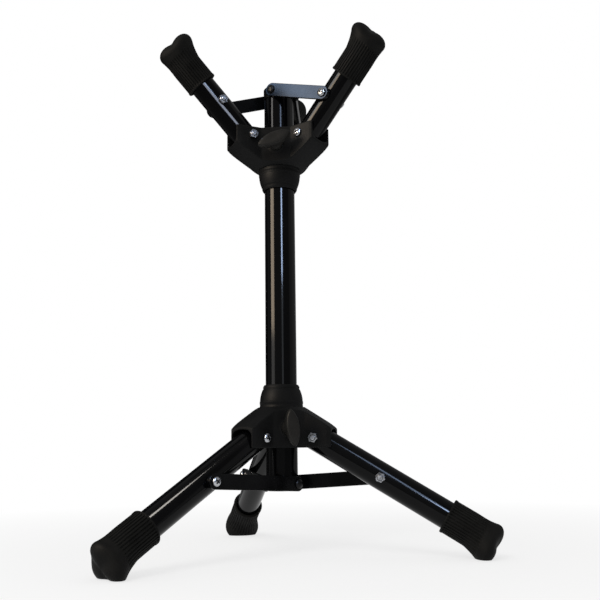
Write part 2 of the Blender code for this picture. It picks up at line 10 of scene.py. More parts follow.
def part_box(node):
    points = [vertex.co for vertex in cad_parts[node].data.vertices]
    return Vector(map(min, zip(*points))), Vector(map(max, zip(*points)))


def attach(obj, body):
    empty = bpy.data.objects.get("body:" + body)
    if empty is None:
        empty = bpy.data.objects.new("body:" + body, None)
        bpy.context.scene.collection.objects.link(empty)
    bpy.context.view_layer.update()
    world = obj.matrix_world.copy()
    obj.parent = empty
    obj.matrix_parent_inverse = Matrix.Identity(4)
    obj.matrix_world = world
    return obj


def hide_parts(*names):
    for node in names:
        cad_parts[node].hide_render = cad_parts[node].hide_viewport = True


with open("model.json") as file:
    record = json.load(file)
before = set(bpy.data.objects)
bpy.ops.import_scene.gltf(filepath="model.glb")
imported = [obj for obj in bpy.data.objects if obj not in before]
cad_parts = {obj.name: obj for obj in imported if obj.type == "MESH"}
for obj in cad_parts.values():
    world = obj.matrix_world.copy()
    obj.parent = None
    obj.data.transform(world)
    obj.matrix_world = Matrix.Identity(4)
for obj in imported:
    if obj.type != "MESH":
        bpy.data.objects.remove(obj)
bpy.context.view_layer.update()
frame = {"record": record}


# Column. One length of 30 mm steel tube, sawn square, its edges broken, and coated in gloss
# black paint. The two hubs slide on it, which leaves faint rubbed lines along it.

COLUMN_LOW, COLUMN_HIGH = (Vector(corner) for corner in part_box("central_tube"))
COLUMN_AXIS = (COLUMN_LOW + COLUMN_HIGH) / 2
COLUMN_RADIUS = 0.0150
COLUMN_SIDES = 128
TUBE_WALL = 0.0015
TUBE_EDGE = 0.0004
BODY_OF = {
    node: body for body, nodes in frame["record"]["behaviour"]["bodies"].items()
    for node in nodes
}


def finish(name, colour, roughness, specular, metallic=0.0):
    """A new material and its shader. Even values are set on the shader's own sockets."""
    material = bpy.data.materials.new(name)
    material.use_nodes = True
    shader = material.node_tree.nodes["Principled BSDF"]
    shader.inputs["Base Color"].default_value = (*colour, 1.0)
    shader.inputs["Roughness"].default_value = roughness
    shader.inputs["Specular IOR Level"].default_value = specular
    shader.inputs["Metallic"].default_value = metallic
    return material, shader


def mottle(material, scale, detail=4.0, stretch=(1.0, 1.0, 1.0)):
    """Noise in object coordinates, in cycles per metre."""
    nodes = material.node_tree.nodes
    links = material.node_tree.links
    place = nodes.new("ShaderNodeTexCoord")
    mapping = nodes.new("ShaderNodeMapping")
    mapping.inputs["Scale"].default_value = stretch
    texture = nodes.new("ShaderNodeTexNoise")
    texture.inputs["Scale"].default_value = scale
    texture.inputs["Detail"].default_value = detail
    links.new(place.outputs["Object"], mapping.inputs["Vector"])
    links.new(mapping.outputs["Vector"], texture.inputs["Vector"])
    return texture.outputs["Fac"]


def between(material, value, low, high):
    """Turn noise into a number between two others."""
    node = material.node_tree.nodes.new("ShaderNodeMapRange")
    node.inputs["From Min"].default_value = 0.3
    node.inputs["From Max"].default_value = 0.7
    node.inputs["To Min"].default_value = low
    node.inputs["To Max"].default_value = high
    material.node_tree.links.new(value, node.inputs["Value"])
    return node.outputs["Result"]


def shaded(material, shader, value, dark, light):
    """Vary the base colour between two others."""
    node = material.node_tree.nodes.new("ShaderNodeMix")
    node.data_type = "RGBA"
    node.inputs["A"].default_value = (*dark, 1.0)
    node.inputs["B"].default_value = (*light, 1.0)
    links = material.node_tree.links
    links.new(between(material, value, 0.0, 1.0), node.inputs["Factor"])
    links.new(node.outputs["Result"], shader.inputs["Base Color"])


def rough(material, shader, value, low, high):
    links = material.node_tree.links
    links.new(between(material, value, low, high), shader.inputs["Roughness"])


def grain(material, shader, value, strength, depth):
    """Stand the surface up in fine relief."""
    node = material.node_tree.nodes.new("ShaderNodeBump")
    node.inputs["Strength"].default_value = strength
    node.inputs["Distance"].default_value = depth
    links = material.node_tree.links
    links.new(value, node.inputs["Height"])
    links.new(node.outputs["Normal"], shader.inputs["Normal"])


def column_paint():
    material, shader = finish("gloss_black_rubbed", (0.0014, 0.0014, 0.0016), 0.08, 0.12)
    rubbed = mottle(material, 700.0, 2.0, (1.0, 1.0, 0.012))
    rough(material, shader, rubbed, 0.07, 0.11)
    cloud = mottle(material, 22.0)
    shaded(material, shader, cloud, (0.0009, 0.0009, 0.0011), (0.0020, 0.0020, 0.0024))
    grain(material, shader, mottle(material, 160.0, 1.0), 0.01, 0.00001)
    return material


def new_tree(name, sizes):
    """A geometry tree with a named input for each size, and its two end nodes."""
    tree = bpy.data.node_groups.new(name, "GeometryNodeTree")
    sockets = tree.interface
    sockets.new_socket("Shape", in_out="INPUT", socket_type="NodeSocketGeometry")
    for label, kind in sizes.items():
        sockets.new_socket(label, in_out="INPUT", socket_type=f"NodeSocket{kind}")
    sockets.new_socket("Shape", in_out="OUTPUT", socket_type="NodeSocketGeometry")
    given = tree.nodes.new("NodeGroupInput").outputs
    return tree, given, tree.nodes.new("NodeGroupOutput")


def step(tree, kind, sources, **settings):
    """Add a node with its settings, and wire or fill its inputs. Returns its first output."""
    node = tree.nodes.new(kind)
    for label, value in settings.items():
        setattr(node, label, value)
    for label, source in sources.items():
        socket = node.inputs[label]
        if isinstance(source, bpy.types.NodeSocket):
            tree.links.new(source, socket)
        else:
            socket.default_value = source
    return node.outputs[0]


def sum_of(tree, operation, first, second=0.0):
    return step(tree, "ShaderNodeMath", {0: first, 1: second}, operation=operation)


def close_tree(tree, shape, given, result):
    """End a tree: real geometry in its own material."""
    real = step(tree, "GeometryNodeRealizeInstances", {"Geometry": shape})
    coated = step(
        tree, "GeometryNodeSetMaterial", {"Geometry": real, "Material": given["Finish"]}
    )
    tree.links.new(coated, result.inputs[0])
    return tree


def grown(name, tree, sizes, mesh=None):
    """The plain mesh that a tree makes with these sizes."""
    host = bpy.data.objects.new(name, mesh or bpy.data.meshes.new(name))
    bpy.context.scene.collection.objects.link(host)
    modifier = host.modifiers.new(tree.name, "NODES")
    modifier.node_group = tree
    for socket in tree.interface.items_tree:
        if socket.in_out == "INPUT" and socket.name in sizes:
            modifier[socket.identifier] = sizes[socket.name]
    bpy.context.view_layer.update()
    depsgraph = bpy.context.evaluated_depsgraph_get()
    result = bpy.data.meshes.new_from_object(host.evaluated_get(depsgraph))
    bpy.data.objects.remove(host)
    result.name = name
    return result


def pipe_tree():
    """A pipe round Z: its wall's section, with eased corners, swept round a circle."""
    tree, given, result = new_tree("pipe", {
        "Radius": "Float", "Wall": "Float", "Low": "Float", "High": "Float",
        "Edge": "Float", "Sides": "Int", "Finish": "Material",
    })
    half_wall = sum_of(tree, "MULTIPLY", given["Wall"], 0.5)
    length = sum_of(tree, "SUBTRACT", given["High"], given["Low"])
    both = sum_of(tree, "ADD", given["High"], given["Low"])
    section = step(
        tree, "GeometryNodeCurvePrimitiveQuadrilateral",
        {"Width": given["Wall"], "Height": length},
    )
    eased = step(
        tree, "GeometryNodeFilletCurve",
        {"Curve": section, "Count": 3, "Radius": given["Edge"]}, mode="POLY",
    )
    path = step(tree, "GeometryNodeCurvePrimitiveCircle", {
        "Resolution": given["Sides"],
        "Radius": sum_of(tree, "SUBTRACT", given["Radius"], half_wall),
    })
    wall = step(tree, "GeometryNodeCurveToMesh", {"Curve": path, "Profile Curve": eased})
    middle = step(
        tree, "ShaderNodeCombineXYZ", {"Z": sum_of(tree, "MULTIPLY", both, 0.5)}
    )
    placed = step(
        tree, "GeometryNodeTransform", {"Geometry": wall, "Translation": middle}
    )
    return close_tree(tree, placed, given, result)


def smooth(mesh, angle=35):
    mesh.shade_smooth()
    mesh.set_sharp_from_angle(angle=math.radians(angle))
    return mesh


def dress(name, mesh, place, look, *nodes):
    """Put a copy of a mesh in its place, riding with the nodes that it stands for."""
    own = mesh.copy()
    own.name = name
    own.transform(place)
    own.materials.clear()
    own.materials.append(look)
    piece = bpy.data.objects.new(name, own)
    bpy.context.scene.collection.objects.link(piece)
    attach(piece, BODY_OF[nodes[0]])
    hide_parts(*nodes)
    return piece


def move(x=0.0, y=0.0, z=0.0):
    return Matrix.Translation((x, y, z))


COLUMN_LOOK = column_paint()
PIPE = pipe_tree()
column_pipe = smooth(grown("column", PIPE, {
    "Radius": COLUMN_RADIUS, "Wall": TUBE_WALL, "Low": COLUMN_LOW.z, "High": COLUMN_HIGH.z,
    "Edge": TUBE_EDGE, "Sides": COLUMN_SIDES, "Finish": COLUMN_LOOK,
}), 8)
column_place = move(COLUMN_AXIS.x, COLUMN_AXIS.y)
dress("column_tube", column_pipe, column_place, COLUMN_LOOK, "central_tube")


# Places of the two tripods. Each hub carries three limbs on pivots, a third of a turn apart,
# and the upper hub is the same part turned over.

HUB_SPACING = 0.2953
HUB_SKIRT = 0.0090
PIVOT_RADIUS = 0.0345
LIMB_RADIUS = 0.0125
THIRD = 2 * math.pi / 3
TRIPODS = {
    "lower": {
        "limb": "leg", "sides": ("right", "back", "left"), "tilt": math.radians(30.75),
        "length": 0.1810, "bolt": 0.0710, "offset": -0.0040, "drop": 0.0422,
    },
    "upper": {
        "limb": "arm", "sides": ("left", "back", "right"), "tilt": math.radians(46.3),
        "length": 0.1126, "bolt": 0.0445, "offset": 0.0034, "drop": 0.0535,
    },
}


def turn_z(angle):
    return Matrix.Rotation(angle, 4, "Z")


# Turns Z into the sideways direction of a limb
SIDEWAYS = Matrix.Rotation(math.radians(-90), 4, "X")
PIVOT_LEVEL = column_place @ move(z=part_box("lower_hub")[0][2] + HUB_SKIRT)
HUB_PLACE = {
    "lower": PIVOT_LEVEL @ turn_z(math.radians(-15.5)),
    "upper": PIVOT_LEVEL @ move(z=HUB_SPACING) @ turn_z(math.radians(-157.15))
    @ Matrix.Rotation(math.radians(180), 4, "X"),
}


def limb_places():
    """Every limb with its name, its pivot's directions and its own, in which +Z is outwards."""
    places = []
    for prefix, tripod in TRIPODS.items():
        for index, side in enumerate(tripod["sides"]):
            pivot = HUB_PLACE[prefix] @ turn_z(index * THIRD) @ move(x=PIVOT_RADIUS)
            along = pivot @ Matrix.Rotation(math.radians(90) + tripod["tilt"], 4, "Y")
            name = f"{prefix}_{tripod['limb']}_{side}"
            link = f"{prefix}_link_{side}"
            places.append({
                "name": name, "link": link, "tripod": tripod, "pivot": pivot, "along": along,
            })
    return places


# End blocks. Moulded plugs pressed into both ends of the column, each with a short head cut
# to three flats that the inner ends of the links bear on.

END_SPIGOT_RADIUS = 0.0132
END_HEAD_RADIUS = 0.0156
END_HEAD_HALF = 0.00625
END_RIBS = 12


def loft(name, rings, ends=True):
    """A closed surface through rings of equally many points."""
    shape = bmesh.new()
    loops = [[shape.verts.new(point) for point in ring] for ring in rings]
    for first, second in zip(loops, loops[1:]):
        for index, corner in enumerate(first):
            previous = index - 1
            shape.faces.new((first[previous], corner, second[index], second[previous]))
    if ends:
        shape.faces.new(loops[0])
        shape.faces.new(loops[-1])
    bmesh.ops.remove_doubles(shape, verts=shape.verts, dist=0.000001)
    bmesh.ops.recalc_face_normals(shape, faces=shape.faces)
    mesh = bpy.data.meshes.new(name)
    shape.to_mesh(mesh)
    shape.free()
    return mesh


def turned(name, profile, sides, closed=False):
    """A surface turned about Z from (radius, height) points."""
    rings = []
    for radius, height in list(profile) + (list(profile[:1]) if closed else []):
        ring = []
        for side in range(sides):
            angle = 2 * math.pi * side / sides
            ring.append((radius * math.cos(angle), radius * math.sin(angle), height))
        rings.append(ring)
    return loft(name, rings, ends=not closed)


def cutter(mesh, place=None):
    """An object that shapes another one and is used up."""
    item = bpy.data.objects.new(mesh.name, mesh)
    bpy.context.scene.collection.objects.link(item)
    if place is not None:
        mesh.transform(place)
    return item


def round_cutter(radius, low, high, place, sides=32):
    mesh = turned("round_cutter", [(0, high), (radius, high), (radius, low), (0, low)], sides)
    return cutter(mesh, place)


def carved(mesh, cutters, operation="DIFFERENCE"):
    """The mesh after a Boolean with each cutter."""
    base = cutter(mesh)
    for item in cutters:
        boolean = base.modifiers.new(item.name, "BOOLEAN")
        boolean.operation = operation
        boolean.solver = "EXACT"
        boolean.object = item
    bpy.context.view_layer.update()
    depsgraph = bpy.context.evaluated_depsgraph_get()
    result = bpy.data.meshes.new_from_object(base.evaluated_get(depsgraph))
    result.name = mesh.name
    for item in [base] + list(cutters):
        bpy.data.objects.remove(item)
    return result


def moulded_plastic(name, tone, roughness, specular):
    """Black plastic with the fine grain of a spark-eroded mould."""
    material, shader = finish(name, tone, roughness, specular)
    cloud = mottle(material, 45.0)
    darker = tuple(0.80 * part for part in tone)
    lighter = tuple(1.25 * part for part in tone)
    shaded(material, shader, cloud, darker, lighter)
    rough(material, shader, cloud, roughness - 0.06, roughness + 0.08)
    grain(material, shader, mottle(material, 2400.0, 3.0), 0.30, 0.00006)
    return material


def end_block_mesh(tripod):
    seat = END_HEAD_HALF - 0.0003
    profile = [(0, seat + 0.0220), (0.0122, seat + 0.0220), (END_SPIGOT_RADIUS, seat + 0.0205)]
    profile += [(END_SPIGOT_RADIUS, seat), (END_HEAD_RADIUS - 0.0003, seat)]
    profile += [(END_HEAD_RADIUS, seat - 0.0004), (END_HEAD_RADIUS, 0.0012 - END_HEAD_HALF)]
    profile += [(END_HEAD_RADIUS - 0.0012, -END_HEAD_HALF), (0.0085, -END_HEAD_HALF)]
    profile += [(0.0080, 0.0006 - END_HEAD_HALF), (0, 0.0006 - END_HEAD_HALF)]
    cuts = []
    for index in range(3):
        sideways = turn_z(index * THIRD) @ SIDEWAYS
        corners = [(-0.03, -0.03), (0.03, -0.03), (0.03, 0.04), (-0.03, 0.04)]
        flat = [[(x, y, height) for x, y in corners] for height in (COLUMN_RADIUS, 0.03)]
        cuts.append(cutter(loft("flat", flat), sideways))
        hole = turn_z(index * THIRD) @ move(x=tripod["offset"]) @ SIDEWAYS
        cuts.append(round_cutter(0.0028, 0.0072, 0.03, hole))
    return smooth(carved(turned("end_block", profile, 96), cuts), 30)


HUB_PLASTIC = moulded_plastic("satin_black_plastic_look", (0.0074, 0.0076, 0.0079), 0.50, 0.07)
END_PLASTIC = moulded_plastic("end_block_plastic_look", (0.0042, 0.0042, 0.0042), 0.50, 0.06)
for prefix, tripod in TRIPODS.items():
    end_place = HUB_PLACE[prefix] @ move(z=-tripod["drop"])
    end_name = f"{prefix}_end_block"
    dress(f"{end_name}_moulding", end_block_mesh(tripod), end_place, END_PLASTIC, end_name)


# Hubs. One glass-filled nylon moulding: a cone-shaped roof over three channels, ears beside
# each of them, flat panels between, and a ringed collar round the column.

HUB_REACH = 0.0512
PANEL_REACH = 0.0264
EAR_INNER = 0.0130
EAR_OUTER = 0.0155
ROOF_WALL = 0.0025
COLLAR_BASE = 0.0293
COLLAR_HEIGHT = 0.0503
HUB_BORE = 0.0153
KNOB_BOSS = 0.0080
KNOB_BOSS_REACH = 0.0270
KNOB_AXIS = (
    turn_z(math.radians(-60)) @ move(z=0.0090) @ Matrix.Rotation(math.radians(90), 4, "Y")
)


def roof_height(radius):
    """Height of the roof above the pivots: a cone that rounds off at its end."""
    fall = max((radius - 0.0225) * 0.640, 0.0)
    rounding = max(radius - 0.0440, 0.0)
    return COLLAR_BASE - 0.0002 - fall - 14.0 * rounding ** 2


def hub_prism():
    """The plan of the hub, from far below to far above it."""
    corner = (PANEL_REACH - EAR_OUTER * math.sin(math.radians(60))) * 2
    half = [
        (corner, EAR_OUTER), (HUB_REACH - 0.0038, EAR_OUTER), (HUB_REACH, EAR_OUTER - 0.0009)
    ]
    outline = [(along, -across) for along, across in half] + half[::-1]
    rings = []
    for height in (-HUB_SKIRT, 0.08):
        ring = []
        for arm in range(3):
            turn = turn_z(arm * THIRD)
            ring += [turn @ Vector((along, across, height)) for along, across in outline]
        rings.append(ring)
    return cutter(loft("hub_prism", rings))


def hub_channel(arm):
    """The room that one limb turns in: round roof, open below and outwards."""
    rings = []
    for radius in (0.0190, 0.0225, 0.030, 0.038, 0.044, 0.047, 0.050, 0.053, 0.070):
        top = roof_height(min(radius, 0.053)) - ROOF_WALL
        shoulder = min(0.0105, top)
        ring = [(radius, -EAR_INNER, -0.03), (radius, -EAR_INNER, top - shoulder)]
        steps = 20
        for part in range(1, steps):
            angle = math.pi * (1 - part / steps)
            across = math.copysign(abs(math.cos(angle)) ** 0.8, math.cos(angle))
            rise = shoulder * math.sin(angle) ** 0.8
            ring.append((radius, EAR_INNER * across, top - shoulder + rise))
        ring += [(radius, EAR_INNER, top - shoulder), (radius, EAR_INNER, -0.03)]
        rings.append(ring)
    return cutter(loft("channel", rings), turn_z(arm * THIRD))


def hub_pocket(panel):
    """A hollow behind a panel that carries no knob."""
    spread = math.radians(60)
    corners = []
    for reach in (EAR_OUTER / math.sin(spread) + 0.0003, PANEL_REACH - ROOF_WALL):
        corners.append((reach, (reach * math.sin(spread) - EAR_OUTER) / math.cos(spread)))
    outline = [(reach, -half) for reach, half in corners] + corners[::-1]
    top = roof_height(math.hypot(*corners[1])) - ROOF_WALL
    rings = [[(x, y, height) for x, y in outline] for height in (-0.03, top)]
    return cutter(loft("pocket", rings), turn_z(math.radians(-60) + panel * THIRD))


def softened(mesh, voxel, rounds):
    """Round every edge off a little, as a mould does."""
    soft = cutter(mesh)
    remesh = soft.modifiers.new("even", "REMESH")
    remesh.mode = "VOXEL"
    remesh.voxel_size = voxel
    ease = soft.modifiers.new("soft", "SMOOTH")
    ease.factor = 0.5
    ease.iterations = rounds
    bpy.context.view_layer.update()
    depsgraph = bpy.context.evaluated_depsgraph_get()
    result = bpy.data.meshes.new_from_object(soft.evaluated_get(depsgraph))
    bpy.data.objects.remove(soft)
    result.name = mesh.name
    return result


def hub_mesh():
    profile = [(0, COLLAR_BASE + 0.0002), (0.0195, COLLAR_BASE + 0.0002)]
    profile.append((0.0212, COLLAR_BASE - 0.0004))
    for part in range(13):
        radius = 0.0225 + part * 0.0028
        profile.append((radius, roof_height(radius)))
    profile += [(profile[-1][0], -HUB_SKIRT), (0, -HUB_SKIRT)]
    body = carved(turned("hub", profile, 144), [hub_prism()], "INTERSECT")
    body = carved(body, [round_cutter(KNOB_BOSS, 0.016, KNOB_BOSS_REACH, KNOB_AXIS, 64)], "UNION")
    cuts = [round_cutter(HUB_BORE, -0.02, 0.06, move(), 96)]
    cuts.append(round_cutter(0.0033, 0.010, 0.040, KNOB_AXIS))
    for arm in range(3):
        cuts.append(hub_channel(arm))
        pivot = turn_z(arm * THIRD) @ move(x=PIVOT_RADIUS) @ SIDEWAYS
        cuts.append(round_cutter(0.0028, -0.03, 0.03, pivot))
    cuts += [hub_pocket(panel) for panel in (1, 2)]
    return softened(carved(body, cuts), 0.00066, 3)


def collar_mesh():
    """The collar's outside, ringed at both ends, sunk into the roof at its foot."""
    outside = [(HUB_BORE, COLLAR_HEIGHT - 0.0006), (HUB_BORE + 0.0005, COLLAR_HEIGHT)]
    outside += [(0.0164, COLLAR_HEIGHT), (0.0174, COLLAR_HEIGHT - 0.0016)]
    outside += [(0.0176, COLLAR_HEIGHT - 0.0028), (0.0173, COLLAR_HEIGHT - 0.0032)]
    outside += [(0.0176, COLLAR_HEIGHT - 0.0042), (0.0179, COLLAR_HEIGHT - 0.0046)]
    for part in range(9):
        share = part / 8
        bulge = math.sin((0.22 + 0.78 * share) * math.pi / 2)
        outside.append((0.0170 + 0.0035 * bulge, 0.0456 - 0.0106 * share))
    outside += [(0.0208, 0.0347), (0.0209, 0.0326), (0.0206, 0.0322), (0.0207, 0.0300)]
    outside += [(0.0210, COLLAR_BASE - 0.0002), (0.0210, COLLAR_BASE - 0.0012)]
    outside.append((HUB_BORE, COLLAR_BASE - 0.0012))
    return smooth(turned("collar", outside, 128, closed=True), 40)


hub_body = hub_mesh()
hub_body.shade_smooth()
hub_collar = collar_mesh()
for prefix, place in HUB_PLACE.items():
    dress(f"{prefix}_hub_body", hub_body, place, HUB_PLASTIC, f"{prefix}_hub")
    dress(f"{prefix}_hub_collar", hub_collar, place, HUB_PLASTIC, f"{prefix}_hub")


# Legs and arms. Six lengths of 25 mm tube in the same gloss paint, cross-drilled for the
# hub's pivot bolt and the link's bolt. The three arms are shorter than the legs.

LIMB_SIDES = 112
LIMB_TAIL = 0.0075
BOLT_HOLE = 0.0028


def limb_paint():
    material, shader = finish("gloss_black_paint_look", (0.0014, 0.0014, 0.0016), 0.09, 0.12)
    cloud = mottle(material, 26.0)
    rough(material, shader, cloud, 0.07, 0.12)
    shaded(material, shader, cloud, (0.0009, 0.0009, 0.0011), (0.0022, 0.0022, 0.0026))
    grain(material, shader, mottle(material, 160.0, 1.0), 0.01, 0.00001)
    return material


def cross_hole(height):
    return round_cutter(BOLT_HOLE, -0.05, 0.05, move(z=height) @ SIDEWAYS)


LIMB_LOOK = limb_paint()
LIMB_PIPE = {}
for tripod in TRIPODS.values():
    pipe = grown(tripod["limb"], PIPE, {
        "Radius": LIMB_RADIUS, "Wall": TUBE_WALL, "Low": -LIMB_TAIL, "High": tripod["length"],
        "Edge": TUBE_EDGE, "Sides": LIMB_SIDES, "Finish": LIMB_LOOK,
    })
    pipe = carved(pipe, [cross_hole(0.0), cross_hole(tripod["bolt"])])
    LIMB_PIPE[tripod["limb"]] = smooth(pipe, 8)
for place in limb_places():
    pipe = LIMB_PIPE[place["tripod"]["limb"]]
    dress(f"{place['name']}_tube", pipe, place["along"], LIMB_LOOK, place["name"])


# Rubber feet. A sleeve with a lip at its mouth and fine ribs along it swells into an end with
# three broad round lobes. Pushed over the end of each tube; the lower three stand on the floor.

FOOT_BORE = 0.0128
FOOT_BORE_DEPTH = 0.0442
FOOT_SHIFT = 0.0030
FOOT_SLANT = 0.037
FOOT_RIBS = 36
FOOT_TOES = 3
FOOT_SIDES = FOOT_RIBS * 8
FOOT_ROWS = [
    # depth and radius at a toe, depth and radius between toes, share of the sideways shift
    (0.0000, 0.0151, 0.0000, 0.0151, 0.0),
    (0.0003, 0.0156, 0.0003, 0.0156, 0.0),
    (0.0009, 0.0159, 0.0009, 0.0159, 0.0),
    (0.0024, 0.0159, 0.0024, 0.0159, 0.0),
    (0.0032, 0.0155, 0.0032, 0.0155, 0.0),
    (0.0120, 0.0155, 0.0120, 0.0155, 0.0),
    (0.0215, 0.0155, 0.0215, 0.0155, 0.0),
    (0.0270, 0.0159, 0.0268, 0.0157, 0.20),
    (0.0330, 0.0168, 0.0322, 0.0163, 0.52),
    (0.0372, 0.0179, 0.0358, 0.0170, 0.77),
    (0.0402, 0.0189, 0.0384, 0.0176, 0.97),
    (0.0428, 0.0195, 0.0408, 0.0178, 1.0),
    (0.0451, 0.0192, 0.0430, 0.0174, 1.0),
    (0.0470, 0.0181, 0.0447, 0.0162, 1.0),
    (0.0486, 0.0163, 0.0461, 0.0146, 1.0),
    (0.0496, 0.0140, 0.0471, 0.0126, 1.0),
    (0.0502, 0.0111, 0.0479, 0.0100, 1.0),
    (0.0503, 0.0079, 0.0485, 0.0072, 1.0),
    (0.0500, 0.0048, 0.0489, 0.0044, 1.0),
    (0.0496, 0.0022, 0.0492, 0.0021, 1.0),
    (0.0494, 0.0005, 0.0493, 0.0005, 1.0),
]


def eased_row(rows, share):
    """A smooth curve through rows of numbers, read at a share of its length."""
    place = share * (len(rows) - 1)
    index = min(int(place), len(rows) - 2)
    part = place - index
    before = rows[max(index - 1, 0)]
    after = rows[min(index + 2, len(rows) - 1)]
    row = []
    for a, b, c, d in zip(before, rows[index], rows[index + 1], after):
        slope_b = 0.0 if (b - a) * (c - b) <= 0 else (c - a) / 2
        slope_c = 0.0 if (c - b) * (d - c) <= 0 else (d - b) / 2
        cube = part ** 3
        square = part ** 2
        row.append(
            (2 * cube - 3 * square + 1) * b + (cube - 2 * square + part) * slope_b
            + (3 * square - 2 * cube) * c + (cube - square) * slope_c
        )
    return row


def foot_ring(toe_depth, toe, valley_depth, valley, swell):
    ring = []
    for side in range(FOOT_SIDES):
        angle = 2 * math.pi * side / FOOT_SIDES
        inward = (0.5 + 0.5 * math.cos(FOOT_TOES * angle)) ** 1.1
        reach = toe + (valley - toe) * inward
        depth = toe_depth + (valley_depth - toe_depth) * inward
        across = reach * math.cos(angle)
        slant = FOOT_SLANT * across * swell
        ring.append((FOOT_SHIFT * swell + across, reach * math.sin(angle), depth + slant))
    return ring


def foot_mesh():
    rings = []
    for depth, bore in (
        (FOOT_BORE_DEPTH, FOOT_BORE), (0.0006, FOOT_BORE), (0.0, FOOT_BORE + 0.0004)
    ):
        rings.append(foot_ring(depth, bore, depth, bore, 0.0))
    count = 96
    for part in range(count + 1):
        rings.append(foot_ring(*eased_row(FOOT_ROWS, part / count)))
    return loft("foot", rings)


def rib_tree():
    """Press grooves into a sleeve round Z, so that ribs stand between them."""
    tree, given, result = new_tree("ribs", {
        "Ribs": "Int", "Groove": "Float", "From": "Float", "To": "Float", "Fade": "Float",
        "Inside": "Float", "Finish": "Material",
    })
    place = step(tree, "GeometryNodeInputPosition", {})
    parts = tree.nodes.new("ShaderNodeSeparateXYZ")
    tree.links.new(place, parts.inputs[0])
    across, aside, depth = parts.outputs
    outward = step(tree, "ShaderNodeCombineXYZ", {"X": across, "Y": aside})
    radius = tree.nodes.new("ShaderNodeVectorMath")
    radius.operation = "LENGTH"
    tree.links.new(outward, radius.inputs[0])
    outside = sum_of(tree, "GREATER_THAN", radius.outputs["Value"], given["Inside"])
    angle = sum_of(tree, "ARCTAN2", aside, across)
    wave = sum_of(tree, "COSINE", sum_of(tree, "MULTIPLY", angle, given["Ribs"]))
    groove = step(
        tree, "ShaderNodeMapRange", {0: wave, 1: -0.75, 2: 0.15, 3: 1.0, 4: 0.0},
        interpolation_type="SMOOTHSTEP",
    )
    start = step(tree, "ShaderNodeMapRange", {
        0: depth, 1: given["From"], 2: sum_of(tree, "ADD", given["From"], given["Fade"]),
    })
    end = step(tree, "ShaderNodeMapRange", {
        0: depth, 1: sum_of(tree, "ADD", given["To"], sum_of(tree, "MULTIPLY", given["Fade"], 3.0)),
        2: given["To"],
    })
    amount = sum_of(tree, "MULTIPLY", sum_of(tree, "MULTIPLY", groove, start), end)
    amount = sum_of(tree, "MULTIPLY", sum_of(tree, "MULTIPLY", amount, outside), given["Groove"])
    direction = tree.nodes.new("ShaderNodeVectorMath")
    direction.operation = "NORMALIZE"
    tree.links.new(outward, direction.inputs[0])
    inward = tree.nodes.new("ShaderNodeVectorMath")
    inward.operation = "SCALE"
    tree.links.new(direction.outputs["Vector"], inward.inputs[0])
    tree.links.new(sum_of(tree, "MULTIPLY", amount, -1.0), inward.inputs["Scale"])
    pressed = step(tree, "GeometryNodeSetPosition", {
        "Geometry": given["Shape"], "Offset": inward.outputs["Vector"],
    })
    return close_tree(tree, pressed, given, result)


def foot_rubber():
    """Soft black rubber, matte and slightly dusty."""
    material, shader = finish("black_rubber_look", (0.0080, 0.0076, 0.0071), 0.60, 0.06)
    dust = mottle(material, 70.0, 6.0)
    shaded(material, shader, dust, (0.0058, 0.0058, 0.0056), (0.0100, 0.0100, 0.0095))
    rough(material, shader, dust, 0.50, 0.72)
    grain(material, shader, mottle(material, 1800.0, 3.0), 0.25, 0.00006)
    return material


RUBBER = foot_rubber()
ribbed_foot = smooth(grown("foot", rib_tree(), {
    "Ribs": FOOT_RIBS, "Groove": 0.0009, "From": 0.0012, "To": 0.0335, "Fade": 0.0008,
    "Inside": 0.0145, "Finish": RUBBER,
}, foot_mesh()), 50)
for place in limb_places():
    mouth = place["along"] @ move(z=place["tripod"]["length"] + 0.0003 - FOOT_BORE_DEPTH)
    foot_name = f"{place['name']}_foot"
    piece = dress(f"{place['name']}_rubber_foot", ribbed_foot, mouth, RUBBER, foot_name)
    # Pressed flat where it stands on the floor
    for vertex in piece.data.vertices:
        vertex.co.z = max(vertex.co.z, 0.0)


# Hub pivots. An M5 pan head bolt goes through both ears and the limb's end, with a lock nut
# on the far ear. Bright zinc, with a cross recess, and a rolled thread that ends past the nut.

HEAD_RADIUS = 0.0042
HEAD_HEIGHT = 0.0028
SHANK_RADIUS = 0.0022
THREAD_RADIUS = 0.0025
THREAD_PITCH = 0.0008
NUT_CORNER = 0.004 / math.cos(math.pi / 6)
PIVOT_SEAT = EAR_OUTER + 0.0003


def zinc_plate():
    """Bright zinc that has dulled a little, with painted shade darkening its recesses and corners.
    """
    material, shader = finish("bright_zinc_look", (0.42, 0.43, 0.45), 0.26, 0.5, 1.0)
    stain = mottle(material, 420.0, 3.0)
    rough(material, shader, stain, 0.20, 0.34)
    shaded(material, shader, stain, (0.32, 0.33, 0.35), (0.54, 0.55, 0.57))
    tree = material.node_tree
    # Painted shade: ambient occlusion darkens the base colour in the cross recess, in corners and
    # where the zinc meets other parts.
    corner = tree.nodes.new("ShaderNodeAmbientOcclusion")
    corner.inputs["Distance"].default_value = 0.0024
    corner_shade_factor = tree.nodes.new("ShaderNodeMapRange")
    for label, value in (("From Min", 0.52), ("From Max", 1.0), ("To Min", 0.02), ("To Max", 1.0)):
        corner_shade_factor.inputs[label].default_value = value
    tree.links.new(corner.outputs["AO"], corner_shade_factor.inputs["Value"])
    corner_shade = tree.nodes.new("ShaderNodeVectorMath")
    corner_shade.operation = "SCALE"
    tree.links.new(shader.inputs["Base Color"].links[0].from_socket, corner_shade.inputs[0])
    tree.links.new(corner_shade_factor.outputs["Result"], corner_shade.inputs["Scale"])
    tree.links.new(corner_shade.outputs["Vector"], shader.inputs["Base Color"])
    return material


